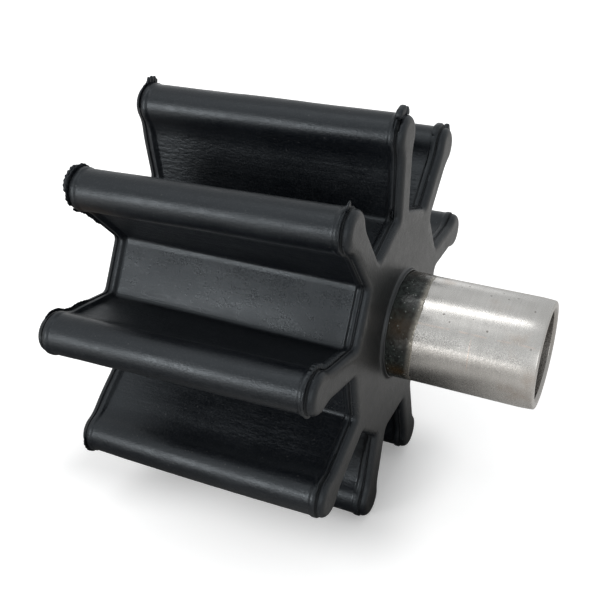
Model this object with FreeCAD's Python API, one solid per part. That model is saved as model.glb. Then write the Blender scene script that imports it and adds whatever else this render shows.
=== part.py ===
import FreeCAD, Part
import math
import os

# Rubber pump impeller, moulded and bonded onto a stainless drive sleeve.
# The impeller turns about +Y, and the sleeve stands out of its near end, towards +Y.
# The origin is on that axis, half way along the rubber. +Z is up, with one blade on top,
# so that the part rests on its two lowest blades. All sizes are in millimetres.

# Blades: a flexible web with a round bulb along its tip
BLADE_COUNT = 9
TIP_RADIUS = 47.6
BULB_RADIUS = 4.5
WEB_THICKNESS = 4.6
NECK_RADIUS = 8.5

# Hub: one flat land between each blade and the next
BODY_WIDTH = 62.4
LAND_APOTHEM = 24.9
ROOT_RADIUS = 1.0
HUB_TURN = -2.0

# End rims: the thicker border that seals against the pump's end plates
RIM_WIDTH = 2.9
RIM_SLOPE = 0.7
RIM_PROUD = 0.9
RIM_ROOT_RADIUS = 1.2
LIP_PROUD_AT_BULB = 0.25
CAP_STEP_AT_BULB = 0.15

# Outer edge of both ends, rounded in a few flats
EDGE_RADIUS = 1.5
EDGE_FLATS = 2

# Parting groove round each end, outboard of the lip
GROOVE_INSET = 1.55
GROOVE_WIDTH = 0.4
GROOVE_DEPTH = 0.3

# Drive sleeve
SLEEVE_OUTER_RADIUS = 11.9
SLEEVE_WALL = 2.2
SLEEVE_REACH = 32.4
LEAD_IN_LENGTH = 2.6
LEAD_IN_DEPTH = 0.3
BORE_CHAMFER = 0.5
RIM_BREAK = 0.3

# Cured bonding film that crept along the sleeve, and the rubber collar round it
FILM_LENGTH = 6.4
FILM_THICKNESS = 0.2
FILM_FEATHER = 1.2
COLLAR_WIDTH = 0.6
COLLAR_HEIGHT = 1.3
COLLAR_FOOT = 0.9

# Permanent set: how far each blade's tip leans about the axis, in degrees, first at the
# near end and then at the far end. Blades are lettered clockwise from the top one.
BLADE_LETTERS = "ABCDEFGHI"
BLADE_SET = [
    (0.8, -0.7),
    (3.3, 3.3),
    (4.8, 4.9),
    (2.0, 2.0),
    (1.6, 1.6),
    (-0.8, -1.1),
    (2.6, -5.3),
    (1.4, -1.3),
    (2.0, -0.1),
]
BEND_RADIUS = 24.0

# Torn tabs of flash on the parting groove round a bulb: blade, end, turn about the bulb
# from its tip in degrees, half width and thickness
NEAR = 1
FAR = -1
FLASH_TABS = [
    ("A", NEAR, 8.0, 1.7, 1.2),
    ("B", NEAR, 14.0, 1.6, 1.3),
    ("I", NEAR, 38.0, 0.9, 0.7),
    ("A", FAR, 10.0, 1.9, 0.8),
]
TAB_ROOT = 0.25

# Sizes that follow from the ones above
HALF_PITCH = math.pi / BLADE_COUNT
HALF_WIDTH = BODY_WIDTH / 2
BULB_CENTRE = TIP_RADIUS - BULB_RADIUS
SLEEVE_END = HALF_WIDTH + SLEEVE_REACH
AXIS = FreeCAD.Vector(0, 1, 0)


def section_sizes(rim_share, bulb_step, drawn_in=0.0):
    """Sizes of the star outline, with the rim's share of its height on webs and lands."""
    return {
        "web": WEB_THICKNESS / 2 + RIM_PROUD * rim_share - drawn_in,
        "bulb": BULB_RADIUS + bulb_step - drawn_in,
        "neck": NECK_RADIUS - RIM_PROUD * rim_share + drawn_in,
        "land": LAND_APOTHEM + RIM_PROUD * rim_share - drawn_in,
        "root": ROOT_RADIUS + (RIM_ROOT_RADIUS - ROOT_RADIUS) * rim_share + drawn_in,
    }


PANEL = section_sizes(0.0, 0.0)
LIP = section_sizes(1.0, LIP_PROUD_AT_BULB)
GROOVE = section_sizes(1.0, -CAP_STEP_AT_BULB, GROOVE_DEPTH)
CAP = section_sizes(1.0, -CAP_STEP_AT_BULB)


def blade_lean(blade, y):
    """Turn of a blade at its bending line that carries its tip by the blade's set at y."""
    near, far = BLADE_SET[blade % len(BLADE_SET)]
    share = (y + HALF_WIDTH) / BODY_WIDTH
    tip_turn = math.radians(far + (near - far) * share)
    arm = BULB_CENTRE - BEND_RADIUS
    return math.asin(BULB_CENTRE * math.sin(tip_turn) / arm)


def along(point, direction, distance):
    """Point moved by a distance in a direction of the section plane."""
    return point[0] + distance * direction[0], point[1] + distance * direction[1]


def towards(start, end):
    """Unit direction from one point to another."""
    span = math.hypot(end[0] - start[0], end[1] - start[1])
    return (end[0] - start[0]) / span, (end[1] - start[1]) / span


def cross_point(normal_a, reach_a, normal_b, reach_b):
    """Point where two straight lines cross, each given by its normal and its reach."""
    scale = normal_a[0] * normal_b[1] - normal_a[1] * normal_b[0]
    across = (reach_a * normal_b[1] - reach_b * normal_a[1]) / scale
    upward = (normal_a[0] * reach_b - normal_b[0] * reach_a) / scale
    return across, upward


def arc_middle(centre, radius, start, end):
    """Middle of the shorter arc between two points of a circle."""
    halfway = ((start[0] + end[0]) / 2, (start[1] + end[1]) / 2)
    return along(centre, towards(centre, halfway), radius)


def bulb_centre(lean):
    """Centre of a bulb in its blade's own plane, and the blade's direction there."""
    direction = (math.cos(lean), math.sin(lean))
    return along((BEND_RADIUS, 0.0), direction, BULB_CENTRE - BEND_RADIUS), direction


def blade_side(lean, sizes, side):
    """Tangent points and arc middles down one side of a blade, from its bulb to the land."""
    bulb, direction = bulb_centre(lean)
    normal = (-side * direction[1], side * direction[0])
    neck_offset = sizes["web"] + sizes["neck"]
    neck_reach = math.sqrt((sizes["bulb"] + sizes["neck"]) ** 2 - neck_offset ** 2)
    neck_foot = along(bulb, direction, -neck_reach)
    neck_centre = along(neck_foot, normal, neck_offset)
    bulb_tangent = along(bulb, towards(bulb, neck_centre), sizes["bulb"])
    web_top = along(neck_foot, normal, sizes["web"])
    land_normal = (math.cos(HALF_PITCH), side * math.sin(HALF_PITCH))
    web_reach = BEND_RADIUS * normal[0] + sizes["web"]
    root_centre = cross_point(normal, web_reach + sizes["root"],
                              land_normal, sizes["land"] + sizes["root"])
    web_foot = along(root_centre, normal, -sizes["root"])
    land_end = along(root_centre, land_normal, -sizes["root"])
    return {
        "bulb_tangent": bulb_tangent,
        "neck_middle": arc_middle(neck_centre, sizes["neck"], bulb_tangent, web_top),
        "web_top": web_top,
        "web_foot": web_foot,
        "root_middle": arc_middle(root_centre, sizes["root"], web_foot, land_end),
        "land_end": land_end,
    }


def placed(point, blade, y):
    """Section point of one blade, turned to that blade's place clockwise from the top."""
    turn = 2 * HALF_PITCH * blade + math.radians(HUB_TURN)
    across = -math.sin(turn) * point[0] - math.cos(turn) * point[1]
    upward = math.cos(turn) * point[0] - math.sin(turn) * point[1]
    return FreeCAD.Vector(across, y, upward)


def blade_edges(blade, y, sizes):
    """Outline of one blade from its first root round its bulb and over the land after it."""
    lean = blade_lean(blade, y)
    bulb, direction = bulb_centre(lean)
    tip = along(bulb, direction, sizes["bulb"])
    before = {name: placed(point, blade, y)
              for name, point in blade_side(lean, sizes, -1).items()}
    after = {name: placed(point, blade, y)
             for name, point in blade_side(lean, sizes, 1).items()}
    following = {name: placed(point, blade + 1, y)
                 for name, point in blade_side(blade_lean(blade + 1, y), sizes, -1).items()}
    return [
        Part.LineSegment(before["web_foot"], before["web_top"]),
        Part.Arc(before["web_top"], before["neck_middle"], before["bulb_tangent"]),
        Part.Arc(before["bulb_tangent"], placed(tip, blade, y), after["bulb_tangent"]),
        Part.Arc(after["bulb_tangent"], after["neck_middle"], after["web_top"]),
        Part.LineSegment(after["web_top"], after["web_foot"]),
        Part.Arc(after["web_foot"], after["root_middle"], after["land_end"]),
        Part.LineSegment(after["land_end"], following["land_end"]),
        Part.Arc(following["land_end"], following["root_middle"], following["web_foot"]),
    ]


def star_outline(y, sizes):
    """Closed outline of hub, webs and bulbs at one station along the axis."""
    edges = []
    for blade in range(BLADE_COUNT):
        edges += blade_edges(blade, y, sizes)
    return Part.Wire([edge.toShape() for edge in edges])


def rounded_edge():
    """Insets and sections of the cap where its outer edge curves in to the end face."""
    steps = []
    for flat in range(EDGE_FLATS):
        turn = math.pi / 2 * flat / EDGE_FLATS
        inset = EDGE_RADIUS * (1 - math.cos(turn))
        drawn_in = EDGE_RADIUS * (1 - math.sin(turn))
        steps.append((inset, section_sizes(1.0, -CAP_STEP_AT_BULB, drawn_in)))
    return steps


def end_stations(end):
    """Stations from an end face inwards: edge, cap, parting groove, lip and slope."""
    steps = rounded_edge() + [
        (EDGE_RADIUS, CAP),
        (GROOVE_INSET, CAP),
        (GROOVE_INSET + GROOVE_WIDTH / 2, GROOVE),
        (GROOVE_INSET + GROOVE_WIDTH, LIP),
        (RIM_WIDTH, LIP),
        (RIM_WIDTH + RIM_SLOPE, PANEL),
    ]
    return [(end * (HALF_WIDTH - inset), sizes) for inset, sizes in steps]


def star_body():
    """Hub, webs and bulbs with their end rims, joined through the stations of both ends."""
    stations = end_stations(FAR) + end_stations(NEAR)[::-1]
    return Part.makeLoft([star_outline(y, sizes) for y, sizes in stations], True, True)


def flash_tab(letter, end, turn, half_width, thickness):
    """Torn half-round tab of flash that stands on the parting groove round a bulb."""
    blade = BLADE_LETTERS.index(letter)
    y = end * (HALF_WIDTH - GROOVE_INSET - GROOVE_WIDTH / 2)
    bulb, direction = bulb_centre(blade_lean(blade, y))
    angle = math.atan2(direction[1], direction[0]) + math.radians(turn)
    foot = along(bulb, (math.cos(angle), math.sin(angle)), LIP["bulb"] - TAB_ROOT)
    start = placed(foot, blade, y) - AXIS * (thickness / 2)
    return Part.makeCylinder(half_width, thickness, start, AXIS)


def turned(points):
    """Solid turned about the axis from a closed section of (radius, station) points."""
    corners = [FreeCAD.Vector(radius, station, 0) for radius, station in points]
    face = Part.Face(Part.makePolygon(corners + corners[:1]))
    return face.revolve(FreeCAD.Vector(0, 0, 0), AXIS, 360)


def collar():
    """Low collar of rubber that stands round the film, with its foot spread on the hub."""
    inner = SLEEVE_OUTER_RADIUS + FILM_THICKNESS
    outer = inner + COLLAR_WIDTH
    return turned([
        (inner, HALF_WIDTH - COLLAR_HEIGHT),
        (inner, HALF_WIDTH + COLLAR_HEIGHT),
        (outer, HALF_WIDTH + COLLAR_HEIGHT),
        (outer + COLLAR_FOOT, HALF_WIDTH),
        (outer + COLLAR_FOOT, HALF_WIDTH - COLLAR_HEIGHT),
    ])


def impeller_body():
    """Hub, blades and end rims in one moulding, with the hole that is bonded to the sleeve."""
    body = star_body()
    for tab in FLASH_TABS:
        body = body.fuse(flash_tab(*tab))
    body = body.fuse(collar())
    hole = Part.makeCylinder(SLEEVE_OUTER_RADIUS, BODY_WIDTH,
                             FreeCAD.Vector(0, -HALF_WIDTH, 0), AXIS)
    return body.cut(hole)


def drive_sleeve():
    """Stainless tube through the hub, with a lead-in at its free end and a chamfered bore."""
    outer = SLEEVE_OUTER_RADIUS
    bore = outer - SLEEVE_WALL
    nose = outer - LEAD_IN_DEPTH
    return turned([
        (bore, -HALF_WIDTH + BORE_CHAMFER),
        (bore + BORE_CHAMFER, -HALF_WIDTH),
        (outer, -HALF_WIDTH),
        (outer, SLEEVE_END - LEAD_IN_LENGTH),
        (nose, SLEEVE_END - RIM_BREAK),
        (nose - RIM_BREAK, SLEEVE_END),
        (bore + BORE_CHAMFER, SLEEVE_END),
        (bore, SLEEVE_END - BORE_CHAMFER),
    ])


def bond_film():
    """Film of cured bonding agent round the sleeve, against the near end of the hub."""
    inner = SLEEVE_OUTER_RADIUS
    outer = inner + FILM_THICKNESS
    return turned([
        (inner, HALF_WIDTH),
        (outer, HALF_WIDTH),
        (outer, HALF_WIDTH + FILM_LENGTH - FILM_FEATHER),
        (inner, HALF_WIDTH + FILM_LENGTH),
    ])


PIECES = {
    "impeller_body": impeller_body,
    "drive_sleeve": drive_sleeve,
    "bond_film": bond_film,
}

os.makedirs("parts", exist_ok=True)
for name, build in PIECES.items():
    shape = build()
    shape.exportStep(os.path.join("parts", name + ".step"))
    box = shape.BoundBox
    print(name, shape.isValid(), len(shape.Solids), round(shape.Volume, 1), len(shape.Faces))
    print("  x", round(box.XMin, 2), round(box.XMax, 2), "y", round(box.YMin, 2),
          round(box.YMax, 2), "z", round(box.ZMin, 2), round(box.ZMax, 2))
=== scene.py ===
"""Looks of a rubber pump impeller that is bonded to a stainless drive sleeve.

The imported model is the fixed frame: +Y is the shaft axis towards the near end, where the
sleeve stands out, and +Z is up. Lengths are in millimetres until a mesh is made, and each
piece is a surface worked out as whole arrays over two parameters.
"""

import logging
import math
from dataclasses import dataclass, field
from enum import Enum
from typing import Any, Optional, Sequence

import bmesh
import bpy
import numpy as np
from mathutils import Matrix, Vector


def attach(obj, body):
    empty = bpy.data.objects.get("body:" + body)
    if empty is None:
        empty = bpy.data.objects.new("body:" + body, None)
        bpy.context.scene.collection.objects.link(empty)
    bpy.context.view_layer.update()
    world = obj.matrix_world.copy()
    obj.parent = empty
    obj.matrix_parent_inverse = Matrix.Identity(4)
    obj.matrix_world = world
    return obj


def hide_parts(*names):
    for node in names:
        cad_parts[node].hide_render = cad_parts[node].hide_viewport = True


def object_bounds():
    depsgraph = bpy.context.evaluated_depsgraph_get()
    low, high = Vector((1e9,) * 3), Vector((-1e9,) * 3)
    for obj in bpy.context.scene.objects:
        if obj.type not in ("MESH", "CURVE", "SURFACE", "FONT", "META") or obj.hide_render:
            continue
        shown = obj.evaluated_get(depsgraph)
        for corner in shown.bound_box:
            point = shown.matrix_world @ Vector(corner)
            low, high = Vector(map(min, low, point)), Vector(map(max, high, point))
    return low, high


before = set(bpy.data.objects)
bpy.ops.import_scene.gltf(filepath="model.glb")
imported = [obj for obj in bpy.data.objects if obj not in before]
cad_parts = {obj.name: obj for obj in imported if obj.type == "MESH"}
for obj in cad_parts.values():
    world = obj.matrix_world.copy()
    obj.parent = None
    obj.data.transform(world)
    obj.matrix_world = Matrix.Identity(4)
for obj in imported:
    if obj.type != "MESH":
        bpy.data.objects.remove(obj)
CAD_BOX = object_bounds()

LOG = logging.getLogger("impeller")
Array = np.ndarray
Colour = tuple[float, float, float]
MM = 0.001

# Sizes that more than one piece uses, in millimetres: from the middle plane of the rubber to
# either end face, and the sleeve's outer radius.
HALF_WIDTH = 31.2
SLEEVE_RADIUS = 11.9

# Cells along an edge of the noise's table, which repeats, and a shift off its corner.
TABLE_CELLS = 64
TABLE_SHIFT = 17.0


class End(Enum):
    """One end of the rubber: the near one carries the sleeve's free length."""

    NEAR = 1
    FAR = -1


# --------- shared working parts ---------


def smooth(low: float, high: float, value: Array) -> Array:
    """Smooth step: 0 below low, 1 above high, and 3t^2 - 2t^3 between them.

    Args:
        low: Value at which the step starts.
        high: Value at which it ends.
        value: Where it is read.

    Returns:
        The step's height, between 0 and 1.
    """
    share = np.clip((np.asarray(value, float) - low) / (high - low), 0.0, 1.0)
    return share * share * (3.0 - 2.0 * share)


def lattice_noise(points: Array, size: float, seed: int) -> Array:
    """Value noise: random numbers at the corners of a cubic lattice, blended smoothly.

    Args:
        points: Places with three coordinates on the last axis, in millimetres.
        size: Edge of a lattice cell, in millimetres.
        seed: Picks the random numbers.

    Returns:
        Values between -1 and 1, one a place.
    """
    table = np.random.default_rng(seed).uniform(-1.0, 1.0, (TABLE_CELLS,) * 3)
    scaled = np.asarray(points, float) / size + TABLE_SHIFT
    cell = np.floor(scaled).astype(int)
    share = scaled - cell
    share = share * share * (3.0 - 2.0 * share)
    total = np.zeros(scaled.shape[:-1])
    for corner in range(8):
        step = np.array([corner & 1, corner >> 1 & 1, corner >> 2 & 1])
        weight = np.prod(np.where(step == 1, share, 1.0 - share), axis=-1)
        index = (cell + step) % TABLE_CELLS
        total += weight * table[index[..., 0], index[..., 1], index[..., 2]]
    return total


def xyz(x: Any, y: Any, z: Any) -> Array:
    """Points from their three parts, which may be single values or arrays of other shapes."""
    return np.stack(np.broadcast_arrays(x, y, z), axis=-1)


def compass(angle: Array) -> Array:
    """Unit vectors with two coordinates at the given angles."""
    return np.stack([np.cos(angle), np.sin(angle)], axis=-1)


def blend(first: Array, second: Array, share: Any) -> Array:
    """Straight blend: the first at a share of 0 and the second at a share of 1."""
    return first * (1 - share) + second * share


@dataclass(frozen=True)
class Wave:
    """One layer of unevenness: noise with a height, a cell size, a seed and a stretch."""

    height: float
    cell: float
    seed: int
    stretch: tuple[float, float, float] = (1.0, 1.0, 1.0)

    def at(self, points: Array) -> Array:
        """Height of the layer at each point."""
        return self.height * lattice_noise(points * np.array(self.stretch), self.cell, self.seed)


def grid_faces(rows: int, columns: int, start: int = 0, wrap: bool = False) -> Array:
    """Corner numbers of the four-sided faces of a grid of points stored row by row.

    Args:
        rows: Number of rows of points.
        columns: Number of points a row.
        start: Number of the grid's first point.
        wrap: Whether each row closes on itself.

    Returns:
        An array of faces with four corner numbers each.
    """
    row = np.arange(rows - 1)[:, None] * columns
    column = np.arange(columns if wrap else columns - 1)[None, :]
    after = (column + 1) % columns
    faces = np.stack([row + column, row + after, row + columns + after,
                      row + columns + column], axis=-1)
    return faces.reshape(-1, 4) + start


@dataclass
class Patchwork:
    """Grids of points that are gathered into one mesh and closed along their seams."""

    points: list[Array] = field(default_factory=list)
    faces: list[Array] = field(default_factory=list)
    marks: dict[str, list[Array]] = field(default_factory=dict)
    count: int = 0

    def add(self, grid: Array, wrap: bool = False, flip: bool = False,
            **marks: Array) -> None:
        """Adds one grid of points.

        Args:
            grid: Points as rows, columns and three coordinates, in millimetres.
            wrap: Whether each row closes on itself.
            flip: Whether the faces turn their other side out.
            **marks: Named values between 0 and 1, one a point.
        """
        rows, columns = grid.shape[:2]
        faces = grid_faces(rows, columns, self.count, wrap)
        self.points.append(grid.reshape(-1, 3))
        self.faces.append(faces[:, ::-1] if flip else faces)
        for name in set(marks) | set(self.marks):
            earlier = self.marks.setdefault(name, [np.zeros(self.count)])
            value = marks.get(name, np.zeros(1))
            earlier.append(np.broadcast_to(value, (rows, columns)).reshape(-1))
        self.count += rows * columns

    def mesh(self, name: str, merge: float = 2e-6) -> bpy.types.Object:
        """Makes the mesh object, with coinciding points joined and marks kept as attributes.

        Args:
            name: Name of the piece.
            merge: Distance under which points are one, in metres.

        Returns:
            The object, linked to the scene and shaded smooth.
        """
        data = bpy.data.meshes.new(name)
        points = np.concatenate(self.points) * MM
        data.from_pydata(points.tolist(), [], np.concatenate(self.faces).tolist())
        for mark, values in self.marks.items():
            layer = data.attributes.new(mark, "FLOAT", "POINT")
            layer.data.foreach_set("value", np.concatenate(values).astype(np.float32))
        work = bmesh.new()
        work.from_mesh(data)
        bmesh.ops.remove_doubles(work, verts=work.verts, dist=merge)
        bmesh.ops.recalc_face_normals(work, faces=work.faces)
        work.to_mesh(data)
        work.free()
        data.polygons.foreach_set("use_smooth", np.ones(len(data.polygons), bool))
        piece = bpy.data.objects.new(name, data)
        bpy.context.scene.collection.objects.link(piece)
        return piece


def turned_surface(profile: Array, steps: int) -> Array:
    """Surface turned about the Y axis: each profile point runs round a full circle.

    Args:
        profile: Radius and station of each point, in order.
        steps: Number of points round the axis.

    Returns:
        A grid of points, profile by step.
    """
    angle = np.linspace(0.0, 2.0 * math.pi, steps, endpoint=False)[None, :]
    radius, station = profile[:, :1], profile[:, 1:2]
    return xyz(radius * np.cos(angle), station, radius * np.sin(angle))


def out_and_back(out: Array, back: Array) -> Array:
    """Closes a skin: the rows of one side, those of the other in reverse, and the first again.

    Args:
        out: Rows of the outer side.
        back: Rows of the inner side.

    Returns:
        All the rows.
    """
    return np.concatenate([out, back[::-1], out[:1]])


def read_line(line: Array, length: Array, at: Array) -> Array:
    """Reads a line of points at distances along it.

    Args:
        line: Points with two coordinates.
        length: Distance of each point along the line.
        at: Distances at which the line is read.

    Returns:
        A point for each distance.
    """
    return np.stack([np.interp(at, length, line[:, axis]) for axis in (0, 1)], axis=-1)


def as_column(value: Array) -> Array:
    """Values laid out as one column."""
    return np.asarray(value, float).reshape(-1, 1)


def rounded(corners: Sequence[tuple[float, float, float]], flats: int = 8) -> Array:
    """Profile whose corners are rounded by quadratic curves.

    Args:
        corners: Radius, station and rounding of each corner; 0 keeps a corner sharp.
        flats: Number of steps in each rounding.

    Returns:
        Radius and station of each point of the profile.
    """
    places = np.array([corner[:2] for corner in corners], float)
    out: list[Array] = []
    for number, (radius, station, size) in enumerate(corners):
        here = np.array([radius, station])
        if size == 0.0 or number in (0, len(corners) - 1):
            out.append(here[None])
            continue
        before = places[number - 1] - here
        after = places[number + 1] - here
        start = here + before / np.linalg.norm(before) * size
        stop = here + after / np.linalg.norm(after) * size
        share = np.linspace(0.0, 1.0, flats + 1)[:, None]
        out.append((1 - share) ** 2 * start + 2 * share * (1 - share) * here + share ** 2 * stop)
    return np.concatenate(out)


# --------- star outline ---------


@dataclass(frozen=True)
class Section:
    """Sizes of the star outline, each as a column over the stations."""

    web: Array
    bulb: Array
    neck: Array
    land: Array
    root: Array


@dataclass(frozen=True)
class StarOutline:
    """Outline of hub, webs and bulbs: lines and arcs, the same number of points at all stations.

    A blade's half outline runs from the land round the root arc, up the web, round the neck
    arc and round the bulb to its tip. Every blade leans about a bending line on the web.
    """

    blades: int = 9
    tip_radius: float = 47.6
    bulb_radius: float = 4.5
    web_half: float = 2.3
    neck_radius: float = 8.5
    land_apothem: float = 24.9
    root_radius: float = 1.0
    hub_turn: float = -2.0
    rim_proud: float = 0.9
    rim_root_radius: float = 1.2
    lip_at_bulb: float = 0.25
    cap_at_bulb: float = -0.15
    bend_radius: float = 24.0
    half_width: float = HALF_WIDTH
    lean_near: tuple[float, ...] = (0.8, 3.3, 4.8, 2.0, 1.6, -0.8, 2.6, 1.4, 2.0)
    lean_far: tuple[float, ...] = (-0.7, 3.3, 4.9, 2.0, 1.6, -1.1, -5.3, -1.3, -0.1)
    root_steps: int = 9
    web_steps: int = 24
    neck_steps: int = 9
    bulb_steps: int = 24
    land_steps: int = 15
    root_mark: float = 0.3
    tangent_reach: float = 0.15

    @property
    def bulb_centre(self) -> float:
        """Distance of a straight blade's bulb centre from the axis."""
        return self.tip_radius - self.bulb_radius

    @property
    def half_pitch(self) -> float:
        """Half the angle between one blade and the next."""
        return math.pi / self.blades

    def section(self, share: Array, bulb_step: Array, drawn_in: Array) -> Section:
        """Sizes at some stations.

        Args:
            share: Share of its height that the rim has at each station.
            bulb_step: How much higher the bulb is there.
            drawn_in: How far the whole outline is drawn in there.

        Returns:
            The sizes, each a column over the stations.
        """
        share, step, inset = as_column(share), as_column(bulb_step), as_column(drawn_in)
        return Section(
            web=self.web_half + self.rim_proud * share - inset,
            bulb=self.bulb_radius + step - inset,
            neck=self.neck_radius - self.rim_proud * share + inset,
            land=self.land_apothem + self.rim_proud * share - inset,
            root=self.root_radius + (self.rim_root_radius - self.root_radius) * share + inset,
        )

    def lean(self, station: Array) -> Array:
        """Turn of each blade at its bending line, which changes evenly along the width.

        Args:
            station: Stations along the axis.

        Returns:
            Angles, station by blade.
        """
        share = (as_column(station) + self.half_width) / (2 * self.half_width)
        near, far = np.radians(self.lean_near), np.radians(self.lean_far)
        tip_turn = far + (near - far) * share
        arm = self.bulb_centre - self.bend_radius
        return np.arcsin(self.bulb_centre * np.sin(tip_turn) / arm)

    @staticmethod
    def arc(centre: Array, start: Array, stop: Array, steps: int) -> Array:
        """Points along the shorter arc about a centre, evenly apart.

        Args:
            centre: Centre of each arc.
            start: Where each arc starts.
            stop: Where it ends; this point is left out.
            steps: Number of points an arc.

        Returns:
            The points, in one more axis than the centres.
        """
        first, last = start - centre, stop - centre
        angle = np.arctan2(first[..., 1], first[..., 0])
        turn = np.arctan2(last[..., 1], last[..., 0]) - angle
        turn = (turn + math.pi) % (2 * math.pi) - math.pi
        share = np.arange(steps) / steps
        swept = angle[..., None] + turn[..., None] * share
        radius = np.linalg.norm(first, axis=-1)[..., None, None]
        return centre[..., None, :] + radius * compass(swept)

    def half_blade(self, lean: Array, sizes: Section, side: int) -> Array:
        """Half outline of every blade, from its land to its tip, in the blade's own plane.

        Args:
            lean: Turn of each blade at each station.
            sizes: Sizes at each station.
            side: -1 for the side before the blade and 1 for the side after it.

        Returns:
            Points as stations, blades, points and two coordinates (outwards, across).
        """
        direction = compass(lean)
        normal = side * np.stack([-direction[..., 1], direction[..., 0]], axis=-1)
        arm = self.bulb_centre - self.bend_radius
        bulb = np.array([self.bend_radius, 0.0]) + arm * direction
        offset = sizes.web + sizes.neck
        reach = np.sqrt((sizes.bulb + sizes.neck) ** 2 - offset ** 2)
        foot = bulb - reach[..., None] * direction
        neck = foot + offset[..., None] * normal
        towards = (neck - bulb) / np.linalg.norm(neck - bulb, axis=-1, keepdims=True)
        tangent = bulb + sizes.bulb[..., None] * towards
        web_top = foot + sizes.web[..., None] * normal
        across = np.array([math.cos(self.half_pitch), side * math.sin(self.half_pitch)])
        web_reach = self.bend_radius * normal[..., 0] + sizes.web + sizes.root
        land_reach = sizes.land + sizes.root
        scale = normal[..., 0] * across[1] - normal[..., 1] * across[0]
        root = np.stack([(web_reach * across[1] - land_reach * normal[..., 1]) / scale,
                         (normal[..., 0] * land_reach - across[0] * web_reach) / scale], axis=-1)
        web_foot = root - sizes.root[..., None] * normal
        land_end = root - sizes.root[..., None] * across
        share = (np.arange(self.web_steps) / self.web_steps)[:, None]
        web = blend(web_foot[..., None, :], web_top[..., None, :], share)
        tip = bulb + sizes.bulb[..., None] * direction
        return np.concatenate([
            self.arc(root, land_end, web_foot, self.root_steps),
            web,
            self.arc(neck, web_top, tangent, self.neck_steps),
            self.arc(bulb, tangent, tip, self.bulb_steps),
            tip[..., None, :],
        ], axis=2)

    def placed(self, points: Array) -> Array:
        """Turns section points to each blade's place.

        Args:
            points: Points with blades on the second axis (outwards, across).

        Returns:
            The points as x to the right and z upwards.
        """
        turn = 2 * self.half_pitch * np.arange(self.blades) + math.radians(self.hub_turn)
        sine, cosine = np.sin(turn)[:, None], np.cos(turn)[:, None]
        out, across = points[..., 0], points[..., 1]
        return np.stack([-sine * out - cosine * across, cosine * out - sine * across], axis=-1)

    def halves(self, station: Array, sizes: Section) -> tuple[Array, Array]:
        """Both half outlines of every blade.

        Args:
            station: Stations along the axis.
            sizes: Sizes at each station.

        Returns:
            Points before and after the blades, as stations, blades, points, and x and z.
        """
        lean = self.lean(station)
        return (self.placed(self.half_blade(lean, sizes, -1)),
                self.placed(self.half_blade(lean, sizes, 1)))

    def lands(self, before: Array, after: Array) -> Array:
        """Points inside each land, from one blade's last point to the next one's first.

        Args:
            before: Half outlines before the blades.
            after: Half outlines after the blades.

        Returns:
            Points as stations, lands, points, and x and z.
        """
        share = (np.arange(1, self.land_steps + 1) / (self.land_steps + 1))[:, None]
        return blend(after[:, :, :1], np.roll(before[:, :, :1], -1, axis=1), share)

    def column_marks(self) -> tuple[Array, Array]:
        """How far each point round the outline belongs to a web, and to a land.

        Returns:
            Two rows of values between 0 and 1, in the order of a ring's points.
        """
        half = np.concatenate([
            np.linspace(self.root_mark, 1.0, self.root_steps), np.ones(self.web_steps),
            np.linspace(1.0, 0.0, self.neck_steps), np.zeros(self.bulb_steps + 1)])
        web = np.concatenate([half, half[-2::-1], np.zeros(self.land_steps)])
        land = np.zeros(len(web))
        land[-self.land_steps - 1:] = 1.0
        return np.tile(web, self.blades)[None], np.tile(land, self.blades)[None]

    def walk(self, blade: int, station: float, sizes: Section,
             reach: Array) -> tuple[Array, Array]:
        """Places along one blade's outline, and the outward normal at each.

        Args:
            blade: Number of the blade.
            station: Where the section lies along the axis.
            sizes: Sizes of the section, one row.
            reach: Distances along the outline from the bulb's tip, negative before the blade.

        Returns:
            Places and normals, each as x and z.
        """
        before, after = self.halves(np.array([station]), sizes)
        line = np.concatenate([before[0, blade], after[0, blade, -2::-1]])
        runs = np.linalg.norm(np.diff(line, axis=0), axis=1)
        length = np.concatenate([[0.0], np.cumsum(runs)])
        want = np.asarray(reach, float) + length[before.shape[2] - 1]
        tangent = (read_line(line, length, want + self.tangent_reach)
                   - read_line(line, length, want - self.tangent_reach))
        tangent /= np.linalg.norm(tangent, axis=-1, keepdims=True)
        return (read_line(line, length, want),
                np.stack([tangent[..., 1], -tangent[..., 0]], axis=-1))

    def ring(self, station: Array, sizes: Section) -> Array:
        """Closed outline at each station.

        Args:
            station: Stations along the axis.
            sizes: Sizes at each station.

        Returns:
            Points as stations, points round, and x and z.
        """
        before, after = self.halves(station, sizes)
        loop = np.concatenate([before, after[:, :, -2::-1], self.lands(before, after)], axis=2)
        return loop.reshape(len(loop), -1, 2)


# --------- rubber body ---------


@dataclass(frozen=True)
class Spot:
    """A spot on the moulding, given by its blade, end, reach and inset: worn and torn places,
    leathery patches and patches of painted bounce light are all spots.
    """

    blade: int
    end: End
    reach: float
    inset: float
    size: tuple[float, float, float] = (1.0, 1.0, 1.0)
    depth: float = 0.0


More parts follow.
